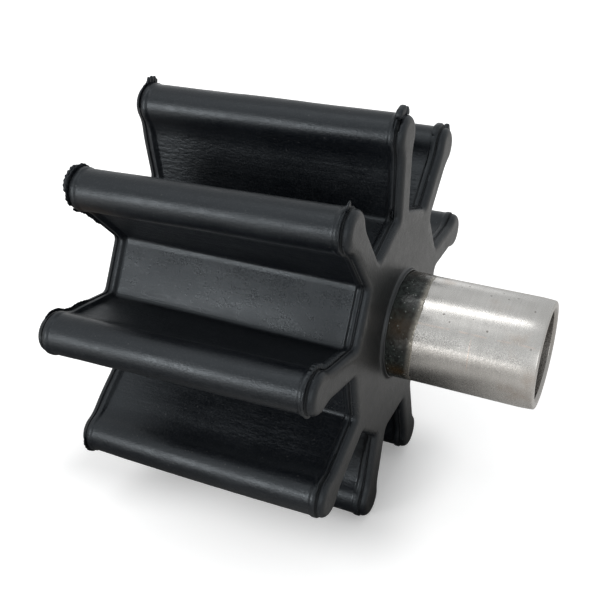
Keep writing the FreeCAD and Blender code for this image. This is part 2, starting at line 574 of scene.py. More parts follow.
@dataclass
class ImpellerBody:
    """The rubber moulding: star, rounded end edges, parting grooves, lips, slopes and collar."""

    outline: StarOutline = field(default_factory=StarOutline)
    edge_radius: float = 1.5
    groove_inset: float = 1.78
    groove_depth: float = 0.36
    groove_half: float = 0.15
    groove_bell: tuple[float, ...] = (-1.8, -1.0, -0.5, 0.0, 0.5, 1.0, 1.8)
    groove_mark: float = 1.3
    end_mark: float = 0.6
    scars: tuple[Spot, ...] = (
        Spot(0, End.NEAR, -2.6, 1.9, (0.9, 0.7, 0.9), 0.8),
        Spot(0, End.NEAR, -4.0, 1.7, (0.6, 0.5, 0.8), 0.5),
        Spot(8, End.NEAR, 1.0, 1.8, (0.8, 0.3, 0.8), 0.3),
        Spot(8, End.NEAR, -2.0, 1.8, (1.6, 0.2, 1.6), 0.2),
        Spot(5, End.NEAR, 21.5, 3.4, (1.2, 0.9, 1.2), 0.8),
        Spot(5, End.NEAR, 23.6, 2.9, (0.9, 0.6, 0.9), 0.7),
        Spot(5, End.NEAR, 18.6, 4.0, (1.0, 0.9, 1.4), 0.5),
        Spot(0, End.NEAR, -24.0, 2.2, (1.2, 0.8, 1.2), 0.35),
        Spot(7, End.FAR, 22.0, 4.5, (1.6, 1.4, 1.6), 0.3),
        Spot(7, End.FAR, 23.5, 7.5, (1.2, 1.8, 1.2), 0.25),
    )
    leather: tuple[Spot, ...] = (
        Spot(0, End.FAR, -15.0, 9.0, (40.0, 17.0, 14.0)),
        Spot(5, End.NEAR, 17.0, 6.0, (10.0, 5.0, 10.0)),
        Spot(1, End.NEAR, -16.0, 9.0, (20.0, 9.0, 14.0)),
        Spot(6, End.NEAR, 16.0, 14.0, (10.0, 12.0, 9.0)),
        Spot(4, End.NEAR, -16.0, 12.0, (14.0, 14.0, 14.0)),
        Spot(3, End.FAR, 14.0, 12.0, (14.0, 14.0, 14.0)),
    )
    # Patches of painted bounce light: a brownish lit patch and a thin lit streak on the underside
    # of blade I near its far end.
    painted_bounce_spots: tuple[Spot, ...] = (
        Spot(8, End.FAR, -9.5, 6.0, (3.2, 5.5, 3.2)),
        Spot(8, End.FAR, -8.6, 22.0, (0.7, 18.0, 0.7)),
    )
    rim_width: float = 2.9
    rim_slope: float = 0.75
    rim_ease: float = 0.1
    slope_margin: float = 0.15
    far_dish: float = 0.9
    dish_start: float = -18.0
    dish_radii: tuple[float, float] = (24.0, 38.0)
    collar_height: float = 1.05
    collar_radius: float = 12.5
    collar_foot: float = 13.2
    collar_gap: float = 0.22
    collar_level: float = 0.9
    collar_crown: float = 0.1
    collar_spread: float = 12.0
    collar_wave: Wave = Wave(0.1, 2.4, 3)
    waves: tuple[Wave, ...] = (Wave(0.07, 6.0, 4, (1.0, 0.45, 1.0)), Wave(0.03, 2.2, 9))
    wave_sink: float = 0.07
    wave_start: tuple[float, float] = (0.3, 4.0)
    lip_wave: Wave = Wave(0.06, 1.1, 12)
    lip_inset: float = 2.2
    lip_half: float = 0.5
    scar_wave: Wave = Wave(0.7, 0.7, 31)
    sunk_in: float = 0.05
    panel_stations: int = 20
    feature_stations: int = 7
    hub_rows: int = 8
    strips: int = 6

    def insets(self) -> Array:
        """Stations of one end, close together at edge, groove and slope.

        Returns:
            Their distances from the end face.
        """
        turn = np.linspace(0.0, math.pi / 2, self.feature_stations)
        edge = self.edge_radius * (1 - np.cos(turn))
        groove = self.groove_inset + self.groove_half * np.array(self.groove_bell)
        slope = np.linspace(self.rim_width - self.slope_margin,
                            self.rim_width + self.rim_slope + self.slope_margin,
                            self.feature_stations)
        return np.concatenate([edge, groove, slope])

    def sizes(self, inset: Array) -> Section:
        """Section sizes at distances from the nearer end face.

        The edge is a quarter circle, the groove a narrow bell, the lip steps up at the groove
        and the slope is a smooth step down to the panel.

        Args:
            inset: The distances.

        Returns:
            The sizes there.
        """
        turn = np.clip((self.edge_radius - inset) / self.edge_radius, 0.0, 1.0)
        edge = self.edge_radius * (1 - np.sqrt(1 - turn ** 2))
        groove = self.groove_depth * np.exp(-((inset - self.groove_inset) / self.groove_half) ** 2)
        share = 1.0 - smooth(self.rim_width - self.rim_ease, self.rim_width + self.rim_slope, inset)
        lip = smooth(self.groove_inset - self.groove_half, self.groove_inset + self.groove_half,
                     inset)
        star = self.outline
        step = (star.cap_at_bulb + (star.lip_at_bulb - star.cap_at_bulb) * lip) * share
        return star.section(share, step, edge + groove)

    def stations(self) -> tuple[Array, Array]:
        """Stations from the far face to the near one.

        Returns:
            The stations, and each one's distance from the nearer face.
        """
        inset = self.insets()
        half = self.outline.half_width
        middle = np.linspace(-half + inset[-1], half - inset[-1], self.panel_stations + 2)[1:-1]
        station = np.concatenate([-half + inset, middle, (half - inset)[::-1]])
        return station, half - np.abs(station)

    def dish(self, points: Array) -> Array:
        """Moves the far end's hub inwards a little: the far face is slightly hollow.

        The move is a smooth step along the axis times one that fades out along the radius.

        Args:
            points: Places on the surface.

        Returns:
            The moved places.
        """
        radius = np.hypot(points[..., 0], points[..., 2])
        depth = smooth(self.dish_start, -self.outline.half_width, points[..., 1])
        moved = points.copy()
        moved[..., 1] += self.far_dish * depth * (1 - smooth(*self.dish_radii, radius))
        return moved

    def wavy(self, grid: Array) -> Array:
        """Pushes the side surface in and out along its normals, and digs the scars.

        The normal is the cross product of the steps along the axis and round the outline.
        The waves fade out towards the end faces, and the lip has a wave of its own.

        Args:
            grid: The even side surface.

        Returns:
            The uneven one.
        """
        along = np.gradient(grid, axis=0)
        round_it = np.roll(grid, -1, axis=1) - np.roll(grid, 1, axis=1)
        normal = np.cross(along, round_it)
        normal /= np.linalg.norm(normal, axis=-1, keepdims=True) + 1e-9
        depth = self.outline.half_width - np.abs(grid[..., 1])
        height = sum(wave.at(grid) for wave in self.waves) - self.wave_sink
        height *= smooth(*self.wave_start, depth)
        lip = np.exp(-((depth - self.lip_inset) / self.lip_half) ** 2)
        height += lip * (self.lip_wave.at(grid) - self.lip_wave.height)
        for scar in self.scars:
            height -= scar.depth * self.mask(grid, scar) * (1 + self.scar_wave.at(grid))
        return grid + normal * height[..., None]

    def place(self, spot: Spot) -> Array:
        """Middle of a spot.

        Args:
            spot: The spot.

        Returns:
            Its place in three coordinates.
        """
        station = spot.end.value * (self.outline.half_width - spot.inset)
        foot, _ = self.outline.walk(spot.blade, station, self.sizes(np.array([spot.inset])),
                                    np.array([spot.reach]))
        return np.array([foot[0, 0], station, foot[0, 1]])

    def mask(self, grid: Array, spot: Spot) -> Array:
        """Bell round a spot: 1 at its middle, falling off by its size along x, y and z.

        Args:
            grid: Where it is read.
            spot: The spot.

        Returns:
            Its value at each point.
        """
        return np.exp(-(((grid - self.place(spot)) / np.array(spot.size)) ** 2).sum(axis=-1))

    def marks(self, grid: Array, spots: Sequence[Spot]) -> Array:
        """Largest bell of several spots.

        Args:
            grid: Where it is read.
            spots: The spots.

        Returns:
            Its value at each point.
        """
        return np.max([self.mask(grid, spot) for spot in spots], axis=0)

    def side(self, work: Patchwork) -> None:
        """Adds the side surface: the ring of points carried through all stations.

        Args:
            work: The mesh that it joins.
        """
        station, inset = self.stations()
        ring = self.outline.ring(station, self.sizes(inset))
        grid = xyz(ring[..., 0], station[:, None], ring[..., 1])
        # The bounce mark paints lit patches on blade I's underside.
        scar, stain = self.marks(grid, self.scars), self.marks(grid, self.painted_bounce_spots)
        leather = self.marks(grid, self.leather)
        web, land = self.outline.column_marks()
        wavy = self.wavy(grid)
        wavy[0], wavy[-1] = grid[0], grid[-1]
        groove_half = self.groove_mark * self.groove_half
        groove = np.exp(-((inset - self.groove_inset) / groove_half) ** 2)
        face = 1.0 - smooth(0.0, self.end_mark, inset)
        rim = 1.0 - smooth(self.rim_width, self.rim_width + self.rim_slope, inset)
        work.add(self.dish(wavy), wrap=True, flip=True, end_face=face[:, None],
                 groove=groove[:, None], rim=rim[:, None], scar=scar, stain=stain,
                 leather=leather, land=land, web=web)

    def end_face(self, work: Patchwork, end: End) -> Array:
        """Adds one end face: a strip across each blade and a ring of rays round the hub.

        A strip joins the two half outlines point by point. The rays run from the lands and
        the blades' roots to the sleeve.

        Args:
            work: The mesh that it joins.
            end: Which end.

        Returns:
            The face's innermost row of points.
        """
        station = end.value * self.outline.half_width
        before, after = self.outline.halves(np.array([station]), self.sizes(np.zeros(1)))
        share = np.linspace(0.0, 1.0, self.strips + 1)[:, None]
        blade = blend(before[0][:, :, None], after[0][:, :, None], share)
        for strip in blade:
            grid = xyz(strip[..., 0], station, strip[..., 1])
            work.add(self.dish(grid), flip=end is End.NEAR, end_face=np.ones((1, 1)))
        land = self.outline.lands(before, after)[0]
        rim = np.concatenate([blade[:, 0], land], axis=1).reshape(-1, 2)
        return self.hub_face(work, end, rim)

    def collar(self, circle: Array) -> list[tuple[Any, Array]]:
        """Low collar of rubber round the sleeve: a hollow slope, then half a turn over its top.

        Args:
            circle: Points of a unit circle.

        Returns:
            Radius and height of each row of points, from the collar's foot inwards.
        """
        spot = xyz(circle[:, 0], circle[:, 1], 0.0)
        level, crown = self.collar_level, self.collar_crown
        height = self.collar_height * (level + self.collar_wave.at(spot * self.collar_spread))
        foot, top = self.collar_foot, self.collar_radius
        inside = SLEEVE_RADIUS + self.collar_gap
        rows = []
        for share in np.linspace(0.15, 1.0, self.hub_rows):
            radius = foot + (top - foot) * (1 - (1 - share) ** 2)
            rows.append((radius, height * (share * share) * level))
        for share in np.linspace(0.2, 1.0, 6):
            swing = share * math.pi
            radius = (top + inside) / 2 + (top - inside) / 2 * math.cos(swing)
            rows.append((radius, height * (level + crown * math.sin(swing))))
        return rows

    def hub_face(self, work: Patchwork, end: End, rim: Array) -> Array:
        """Adds the face round the sleeve: rays from a rim of points, even in angle.

        Args:
            work: The mesh that it joins.
            end: Which end. The near one has the collar.
            rim: Closed rim of points, as x and z.

        Returns:
            The innermost row of points.
        """
        reach = np.hypot(rim[:, 0], rim[:, 1])
        circle = compass(np.arctan2(rim[:, 1], rim[:, 0]))
        flat = np.zeros_like(reach)
        rows = [(blend(reach, self.collar_foot, share), flat)
                for share in np.linspace(0.0, 1.0, self.hub_rows)]
        if end is End.NEAR:
            rows += self.collar(circle)
        rows.append((SLEEVE_RADIUS - self.sunk_in, flat))
        half = self.outline.half_width
        grid = np.stack([xyz(radius * circle[:, 0], end.value * (half + height),
                             radius * circle[:, 1]) for radius, height in rows])
        grid[0, :, 0], grid[0, :, 2] = rim[:, 0], rim[:, 1]
        grid = self.dish(grid)
        work.add(grid, wrap=True, flip=end is End.NEAR, end_face=np.ones((1, 1)))
        return grid[-1]

    def build(self) -> bpy.types.Object:
        """Makes the whole closed moulding.

        Returns:
            The mesh object.
        """
        work = Patchwork()
        self.side(work)
        wall = np.stack([self.end_face(work, end) for end in (End.NEAR, End.FAR)])
        work.add(wall, wrap=True, flip=True)
        return work.mesh("rubber_body")


# --------- torn flash ---------


@dataclass(frozen=True)
class Fin:
    """Torn fin of flash that stands on the parting groove along part of a blade's outline.

    Its reach is measured along the outline from the bulb's tip, negative on the side before
    the blade. A fin tapers to its edge and is ragged; a tab is a slab with a rounded top.
    """

    blade: int
    end: End
    start: float
    stop: float
    height: float
    thickness: float = 0.4
    ragged: float = 0.4
    taper: float = 0.6
    inset: float = 1.9
    curl: float = 0.0
    beads: float = 0.0
    seed: int = 1


@dataclass
class TornFlash:
    """All the torn fins and tabs of flash, as one piece of trim on the moulding."""

    body: ImpellerBody
    fins: tuple[Fin, ...] = (
        Fin(0, End.NEAR, -2.6, 1.6, 1.6, 1.7, 0.1, 0.1, 2.0, 0.1, 0.0, 3),
        Fin(0, End.NEAR, 0.2, 1.9, 1.4, 0.5, 0.2, 0.2, 1.2, -0.3, 0.0, 43),
        Fin(1, End.NEAR, -0.7, 2.7, 1.5, 1.4, 0.1, 0.1, 1.9, 0.1, 0.0, 5),
        Fin(1, End.NEAR, -7.5, 1.0, 0.55, 1.9, 0.15, 0.3, 2.8, 0.0, 0.0, 55),
        Fin(8, End.NEAR, 1.6, 3.2, 1.5, 0.55, 0.15, 0.1, 1.9, 0.2, 0.0, 7),
        Fin(0, End.FAR, -0.9, 3.0, 1.6, 0.9, 0.2, 0.2, 1.7, 0.1, 0.5, 8),
        Fin(8, End.FAR, -6.5, 7.5, 0.8, 0.6, 0.5, 0.4, 1.5, 0.0, 0.6, 9),
        Fin(8, End.FAR, -3.2, 4.0, 0.9, 0.9, 0.5, 0.3, 1.0, 0.0, 0.5, 49),
        Fin(8, End.FAR, -18.0, -8.0, 0.5, 0.45, 0.7, 0.5, 1.2, 0.0, 0.3, 10),
        Fin(7, End.FAR, 5.0, 19.0, 0.5, 0.45, 0.6, 0.5, 1.2, 0.0, 0.3, 11),
        Fin(7, End.NEAR, 4.5, 22.5, 0.95, 1.55, 0.15, 0.15, 2.3, 0.0, 0.6, 12),
        Fin(7, End.NEAR, -8.0, 6.5, 0.24, 0.6, 0.4, 0.5, 2.15, 0.0, 0.2, 13),
        Fin(6, End.FAR, -3.0, 4.5, 0.6, 0.5, 0.5, 0.5, 1.5, 0.0, 0.4, 14),
        Fin(8, End.NEAR, -7.0, 1.8, 0.25, 0.5, 0.5, 0.5, 2.1, 0.0, 0.0, 15),
        Fin(0, End.NEAR, -8.0, -2.0, 0.2, 0.4, 0.6, 0.5, 2.1, 0.0, 0.2, 16),
        Fin(0, End.FAR, -7.0, 8.0, 0.35, 0.45, 0.6, 0.5, 1.5, 0.0, 0.4, 17),
        Fin(6, End.NEAR, 5.0, 16.0, 0.3, 0.4, 0.6, 0.5, 2.1, 0.0, 0.0, 18),
        Fin(1, End.NEAR, -20.0, -8.5, 0.45, 0.35, 0.8, 0.6, 3.3, 0.0, 0.6, 19),
        Fin(0, End.NEAR, -24.5, -22.5, 0.9, 0.4, 0.5, 0.4, 1.9, 0.3, 0.0, 20),
    )
    step: float = 0.12
    fewest_steps: int = 28
    section_points: int = 16
    boxiness: float = 0.6
    hump_powers: tuple[float, float] = (3.5, 0.6)
    sunk_in: float = 0.4
    least_inset: float = 2.1
    bead_turns: float = 3.4

    def grid(self, fin: Fin) -> Array:
        """Surface of a fin: a flat section carried along its foot on the outline.

        The height is a boxy hump times ragged noise and rounded beads. The section is a
        rounded box across the station that tapers to the edge, and its foot sinks in.

        Args:
            fin: The fin.

        Returns:
            A grid of points, round the section by along the foot.
        """
        steps = max(self.fewest_steps, int((fin.stop - fin.start) / self.step))
        station = fin.end.value * (self.body.outline.half_width - fin.inset)
        reach = np.linspace(fin.start, fin.stop, steps)
        sizes = self.body.sizes(np.array([max(fin.inset, self.least_inset)]))
        place, normal = self.body.outline.walk(fin.blade, station, sizes, reach)
        share = np.linspace(-1.0, 1.0, steps)
        inner, outer = self.hump_powers
        hump = np.clip(1 - np.abs(share) ** inner, 0.0, 1.0) ** outer
        spot = xyz(place[:, 0], place[:, 1], float(fin.seed))
        noise = Wave(0.6, 0.9, fin.seed).at(spot) + Wave(0.4, 0.35, fin.seed + 40).at(spot)
        bead = 1 - fin.beads * 0.5 * np.abs(np.sin(reach * self.bead_turns + noise)) ** 2
        height = fin.height * hump * bead * (1 - fin.ragged * (0.5 + 0.7 * noise))
        turn = np.linspace(0.0, 2 * math.pi, self.section_points, endpoint=False)[:, None]
        up, across = (np.sign(wave) * np.abs(wave) ** self.boxiness
                      for wave in (np.cos(turn), np.sin(turn)))
        up = up * 0.5 + 0.5
        rise = up * (height + self.sunk_in) - self.sunk_in
        width = fin.thickness / 2 * (0.4 + 0.6 * hump) * across * (1 - fin.taper * up) * bead
        sway = fin.curl * up ** 2 * hump + Wave(0.2, 1.3, fin.seed + 80).at(spot) * up * hump
        place = place[None] + normal[None] * rise[..., None]
        return xyz(place[..., 0], station + width + sway, place[..., 1])

    def build(self) -> bpy.types.Object:
        """Makes all fins as one mesh, each closed at both ends by a fan.

        Returns:
            The mesh object.
        """
        work = Patchwork()
        for fin in self.fins:
            grid = self.body.dish(self.grid(fin))
            closed = np.concatenate([grid, grid[:1]])
            work.add(closed, rim=np.ones((1, 1)))
            for edge in (closed[:, 0], closed[:, -1]):
                centre = np.broadcast_to(edge[:-1].mean(axis=0), edge.shape)
                work.add(np.stack([edge, centre], axis=1), rim=np.ones((1, 1)))
        return work.mesh("torn_flash")


# --------- sleeve and film ---------


@dataclass
class DriveSleeve:
    """Stainless tube: a turned surface with lead-in, rounded nose and chamfered bore."""

    outer: float = SLEEVE_RADIUS
    bore: float = 9.7
    start: float = -HALF_WIDTH
    stop: float = 63.6
    lead_in: float = 2.6
    lead_depth: float = 0.22
    lead_rounding: float = 1.3
    nose_rounding: float = 0.45
    edge_rounding: float = 0.12
    chamfer: float = 0.5
    mouth: float = 0.55
    far_rounding: float = 0.1
    seam: float = 16.0
    longest_run: float = 2.0
    steps: int = 192

    def profile(self) -> Array:
        """Rounded profile, from a seam inside the bore round the wall and back to the seam.

        Returns:
            Radius and station of each point, its long runs divided evenly.
        """
        corner = rounded([
            (self.bore, self.seam, 0.0),
            (self.bore, self.stop - self.mouth, self.edge_rounding),
            (self.bore + self.chamfer, self.stop, self.edge_rounding),
            (self.outer - self.lead_depth, self.stop, self.nose_rounding),
            (self.outer, self.stop - self.lead_in, self.lead_rounding),
            (self.outer, self.start, self.edge_rounding),
            (self.bore + self.chamfer, self.start, self.far_rounding),
            (self.bore, self.start + self.chamfer, self.far_rounding),
            (self.bore, self.seam, 0.0),
        ])
        runs = []
        for first, second in zip(corner, corner[1:]):
            count = max(1, int(np.linalg.norm(second - first) / self.longest_run))
            share = (np.arange(count) / count)[:, None]
            runs.append(blend(first, second, share))
        return np.concatenate(runs + [corner[-1:]])

    def build(self) -> bpy.types.Object:
        """Makes the closed turned surface from its profile.

        Returns:
            The mesh object.
        """
        work = Patchwork()
        work.add(turned_surface(self.profile(), self.steps), wrap=True)
        return work.mesh("sleeve_tube")


@dataclass
class BondFilm:
    """Film of cured bonding agent: a skin on the sleeve that thins out to a ragged edge."""

    sleeve: float = SLEEVE_RADIUS
    foot: float = 31.0
    length: float = 6.1
    longer_up: float = 0.85
    longer_aside: float = 0.5
    thickness: float = 0.17
    sunk_in: float = 0.06
    spread: float = 12.0
    ragged: tuple[Wave, ...] = (Wave(0.3, 5.0, 21), Wave(0.12, 1.6, 22), Wave(0.06, 0.6, 23))
    uneven: Wave = Wave(0.25, 0.9, 25)
    rows: int = 26
    steps: int = 360
    thin_share: float = 0.78
    brown_share: float = 0.6
    brown_reach: float = 0.5
    brown_turns: tuple[tuple[float, float], ...] = ((27.0, 0.24), (-28.0, 0.16), (110.0, 0.3),
                                                    (200.0, 0.35), (280.0, 0.3))

    def brown(self, angle: Array, share: Array) -> Array:
        """Brown patches: bells over the turn round the axis and the share of the length.

        Args:
            angle: Turn of each point, one row.
            share: Share of the length, one column.

        Returns:
            The mark of each point.
        """
        along = ((share - self.brown_share) / self.brown_reach) ** 2
        mark = np.zeros((share.size, angle.size))
        for turn, size in self.brown_turns:
            apart = (angle - math.radians(turn) + math.pi) % (2 * math.pi) - math.pi
            mark = np.maximum(mark, np.exp(-(apart / size) ** 2 - along))
        return mark

    def build(self) -> bpy.types.Object:
        """Makes the skin: radius is the sleeve's plus a thickness that fades at the edge.

        The film reaches further where it faces up and to the right, with a ragged edge.

        Returns:
            The mesh object.
        """
        angle = np.linspace(0.0, 2 * math.pi, self.steps, endpoint=False)
        cosine, sine = np.cos(angle), np.sin(angle)
        edge = self.length + sine * self.longer_up + cosine * self.longer_aside
        edge += sum(wave.at(xyz(cosine, 0.0, sine) * self.spread) for wave in self.ragged)
        share = np.linspace(0.0, 1.0, self.rows)[:, None]
        station = self.foot + (edge[None] + HALF_WIDTH - self.foot) * share
        spot = xyz(cosine * self.spread, station, sine * self.spread)
        fade = np.clip(1 - share ** 3, 0, 1)
        radius = self.sleeve + self.thickness * fade * (0.75 + self.uneven.at(spot))
        inside = self.sleeve - self.sunk_in
        outer = xyz(radius * cosine, station, radius * sine)
        inner = xyz(inside * cosine, station, inside * sine)
        thin = np.broadcast_to(smooth(self.thin_share, 1.0, share), station.shape)
        brown = self.brown(angle[None], share)
        work = Patchwork()
        work.add(out_and_back(outer, inner), wrap=True, thin=out_and_back(thin, thin),
                 stain=out_and_back(brown, brown))
        return work.mesh("film_skin")


# --------- finishes ---------


@dataclass
class Graph:
    """Short hand for building a node tree: nodes, their values and their links."""

    tree: bpy.types.NodeTree
    noise_range: tuple[float, float] = (0.3, 0.7)

    def fill(self, node: bpy.types.Node, inputs: dict[Any, Any]) -> None:
        """Sets or links the inputs of a node.

        Args:
            node: The node.
            inputs: Socket names or numbers, each with a value or with an output to link.
        """
        for name, value in inputs.items():
            if isinstance(value, bpy.types.NodeSocket):
                self.tree.links.new(value, node.inputs[name])
            else:
                node.inputs[name].default_value = value

    def node(self, kind: str, inputs: Optional[dict[Any, Any]] = None,
             **settings: Any) -> bpy.types.Node:
        """Adds a node.

        Args:
            kind: Node type without its ShaderNode prefix.
            inputs: Socket names or numbers with a value, or an output to link.
            **settings: Properties of the node.

        Returns:
            The node.
        """
        node = self.tree.nodes.new("ShaderNode" + kind)
        for name, value in settings.items():
            setattr(node, name, value)
        self.fill(node, inputs or {})
        return node

    def math(self, operation: str, first: Any, second: Any = 0.0, third: Any = 0.0,
             clamp: bool = False) -> Any:
        """Adds a Math node.

        Args:
            operation: Name of the operation.
            first: First number or output.
            second: Second number or output.
            third: Third number or output, where the operation has one.
            clamp: Whether the result is kept between 0 and 1.

        Returns:
            The node's output.
        """
        return self.node("Math", {0: first, 1: second, 2: third}, operation=operation,
                         use_clamp=clamp).outputs[0]

    def times(self, first: Any, second: Any) -> Any:
        """Multiplies two values and returns the product."""
        return self.math("MULTIPLY", first, second)

    def scaled(self, value: Any, factor: float, start: Any) -> Any:
        """Multiplies a value by a factor, adds a start and returns the result."""
        return self.math("MULTIPLY_ADD", value, factor, start)

    def total(self, first: Any, *others: Any) -> Any:
        """Adds several values one after another.

        Args:
            first: The first value.
            *others: The values that are added to it, in order.

        Returns:
            Their sum.
        """
        for other in others:
            first = self.math("ADD", first, other)
        return first

    def span(self, value: Any, low: float, high: float, start: float = 0.0,
             stop: float = 1.0) -> Any:
        """Maps a range to another along a smooth step.

        Args:
            value: The value that is mapped.
            low: Value at which the step starts.
            high: Value at which it ends.
            start: Result up to the low value.
            stop: Result from the high value on.

        Returns:
            The mapped value.
        """
        return self.node("MapRange", {"Value": value, "From Min": low, "From Max": high,
                                      "To Min": start, "To Max": stop},
                         interpolation_type="SMOOTHSTEP").outputs["Result"]

    def spread(self, value: Any, start: float = 0.0, stop: float = 1.0) -> Any:
        """Maps the usual range of a noise to another and returns the result."""
        return self.span(value, *self.noise_range, start, stop)

    def noise(self, vector: Any, scale: float, detail: float = 3.0, rough: float = 0.5) -> Any:
        """Adds a noise texture.

        Args:
            vector: Where it is read.
            scale: Number of cells a metre.
            detail: Number of finer layers.
            rough: Strength of each finer layer.

        Returns:
            The noise's value, around 0.5.
        """
        return self.node("TexNoise", {"Vector": vector, "Scale": scale, "Detail": detail,
                                      "Roughness": rough}, noise_dimensions="3D").outputs[0]

    def mix(self, share: Any, first: Any, second: Any) -> Any:
        """Mixes two colours.

        Args:
            share: Share of the second colour.
            first: Colour or output shown at a share of 0.
            second: Colour or output shown at a share of 1.

        Returns:
            The mixed colour.
        """
        node = self.node("Mix", data_type="RGBA")
        for name, value in (("Factor_Float", share), ("A_Color", first), ("B_Color", second)):
            socket = next(s for s in node.inputs if s.identifier == name)
            if isinstance(value, bpy.types.NodeSocket):
                self.tree.links.new(value, socket)
            else:
                socket.default_value = value if name == "Factor_Float" else (*value, 1.0)
        return next(s for s in node.outputs if s.identifier == "Result_Color")

    def mark(self, name: str) -> Any:
        """Reads one of the marks that the mesh carries."""
        return self.node("Attribute", attribute_name=name).outputs["Fac"]

    def stretched(self, vector: Any, factors: Any) -> Any:
        """Multiplies a vector by a factor for each axis and returns it."""
        return self.node("VectorMath", {0: vector, 1: factors}, operation="MULTIPLY").outputs[0]

    def length(self, vector: Any) -> Any:
        """Measures a vector and returns its length."""
        return self.node("VectorMath", {0: vector}, operation="LENGTH").outputs["Value"]

    def dot(self, vector: Any, direction: tuple[float, float, float]) -> Any:
        """Measures a vector along a direction and returns the dot product."""
        return self.node("VectorMath", {0: vector, 1: direction},
                         operation="DOT_PRODUCT").outputs["Value"]

    def group(self, tree: bpy.types.NodeTree, inputs: dict[str, Any]) -> Any:
        """Places a node group.

        Args:
            tree: The group.
            inputs: Socket names, each with a value or with an output to link.

        Returns:
            The group's first output.
        """
        node = self.tree.nodes.new("ShaderNodeGroup")
        node.node_tree = tree
        self.fill(node, inputs)
        return node.outputs[0]


class SharedEffects:
    """Node groups that the finishes use, each built once."""

    FINE_SHARE: float = 0.6
    BROAD_SCALE: float = 0.31
    FINER_SCALE: float = 2.3
    CELL_SHIFT: float = 0.0005
    PEBBLE_TOP: float = 0.7

    def __init__(self) -> None:
        """Builds the three groups."""
        self.streaks = self.make_streaks()
        self.specks = self.make_specks()
        self.grain = self.make_grain()

    @staticmethod
    def empty(name: str, output: str,
              inputs: dict[str, Any]) -> tuple[bpy.types.NodeTree, Graph, Any, Any]:
        """Makes an empty group with its sockets, the first of which is a Vector.

        Args:
            name: Name of the group.
            output: Name of its value output.
            inputs: Names and values of its inputs: a number, or three for a vector.

        Returns:
            The group, its graph, the outputs of its input node and its output's socket.
        """
        tree = bpy.data.node_groups.new(name, "ShaderNodeTree")
        tree.interface.new_socket("Vector", in_out="INPUT", socket_type="NodeSocketVector")
        for socket, value in inputs.items():
            kind = "NodeSocketVector" if isinstance(value, tuple) else "NodeSocketFloat"
            item = tree.interface.new_socket(socket, in_out="INPUT", socket_type=kind)
            item.default_value = value
        tree.interface.new_socket(output, in_out="OUTPUT", socket_type="NodeSocketFloat")
        start = tree.nodes.new("NodeGroupInput")
        stop = tree.nodes.new("NodeGroupOutput")
        return tree, Graph(tree), start.outputs, stop.inputs[output]

    def make_streaks(self) -> bpy.types.NodeTree:
        """Makes long fine lines: noise squeezed along an axis, at two sizes.

        Returns:
            The group.
        """
        tree, graph, given, value = self.empty("long_streaks", "Value", {
            "Squeeze": (1.0, 0.05, 1.0), "Scale": 900.0})
        squeezed = graph.stretched(given["Vector"], given["Squeeze"])
        fine = graph.node("TexNoise", {"Vector": squeezed, "Scale": given["Scale"],
                                       "Detail": 4.0, "Roughness": 0.6}).outputs[0]
        broad = graph.node("TexNoise", {"Vector": squeezed, "Detail": 2.0,
                                        "Scale": graph.times(given["Scale"], self.BROAD_SCALE)})
        tree.links.new(graph.total(graph.times(fine, self.FINE_SHARE),
                                   graph.times(broad.outputs[0], 1.0 - self.FINE_SHARE)), value)
        return tree

    def make_specks(self) -> bpy.types.NodeTree:
        """Makes scattered specks: the cores of small cells, most left out by a threshold.

        Returns:
            The group.
        """
        tree, graph, given, value = self.empty("scattered_specks", "Mask", {
            "Scale": 700.0, "Share": 0.1, "Size": 0.2})
        cells = graph.node("TexVoronoi", {"Vector": given["Vector"], "Scale": given["Scale"]})
        chance = graph.node("SeparateColor", {0: cells.outputs["Color"]}).outputs[0]
        chosen = graph.math("LESS_THAN", chance, given["Share"])
        near = graph.math("LESS_THAN", cells.outputs["Distance"], given["Size"])
        tree.links.new(graph.times(chosen, near), value)
        return tree

    def make_grain(self) -> bpy.types.NodeTree:
        """Makes moulded grain: rounded pebbles of shifted cells, with finer noise on top.

        Returns:
            The group.
        """
        tree, graph, given, value = self.empty("moulded_grain", "Height", {
            "Scale": 900.0, "Fine": 0.4})
        fine = graph.node("TexNoise", {"Vector": given["Vector"], "Detail": 3.0,
                                       "Scale": graph.times(given["Scale"], self.FINER_SCALE)})
        shift = graph.node("VectorMath", {0: fine.outputs["Color"], 1: (self.CELL_SHIFT,) * 3,
                                          2: given["Vector"]}, operation="MULTIPLY_ADD")
        cells = graph.node("TexVoronoi", {"Vector": shift.outputs[0], "Scale": given["Scale"]})
        pebble = graph.math("SUBTRACT", self.PEBBLE_TOP, cells.outputs["Distance"])
        tree.links.new(graph.total(pebble, graph.times(fine.outputs[0], given["Fine"])), value)
        return tree


def new_material(name: str) -> tuple[bpy.types.Material, Graph, Any, Any]:
    """Makes a material with an empty Principled shader.

    Args:
        name: Name of the material.

    Returns:
        The material, its graph, the shader and the Object coordinates.
    """
    material = bpy.data.materials.new(name)
    material.use_nodes = True
    material.node_tree.nodes.clear()
    graph = Graph(material.node_tree)
    shader = graph.node("BsdfPrincipled")
    graph.node("OutputMaterial", {"Surface": shader.outputs[0]})
    place = graph.node("TexCoord").outputs["Object"]
    return material, graph, shader, place


@dataclass(frozen=True)
class Finish:
    """A finish: each kind says which values and outputs go to the shader's sockets."""

    effects: SharedEffects
    relief_strength: float = 0.4
    relief_depth: float = 0.00006

    def sockets(self, graph: Graph, place: Any) -> dict[str, Any]:
        """Adds the nodes of the finish.

        Args:
            graph: Where they are added.
            place: The Object coordinates.

        Returns:
            Values and outputs by the name of the shader's socket.
        """
        raise NotImplementedError

    def bump(self, graph: Graph, height: Any) -> Any:
        """Turns a height into a normal of the finish's strength and depth and returns it."""
        return graph.node("Bump", {"Height": height, "Strength": self.relief_strength,
                                   "Distance": self.relief_depth}).outputs[0]

    def material(self, name: str) -> bpy.types.Material:
        """Makes the material.

        Args:
            name: Its name.

        Returns:
            The material.
        """
        material, graph, shader, place = new_material(name)
        graph.fill(shader, self.sockets(graph, place))
        return material


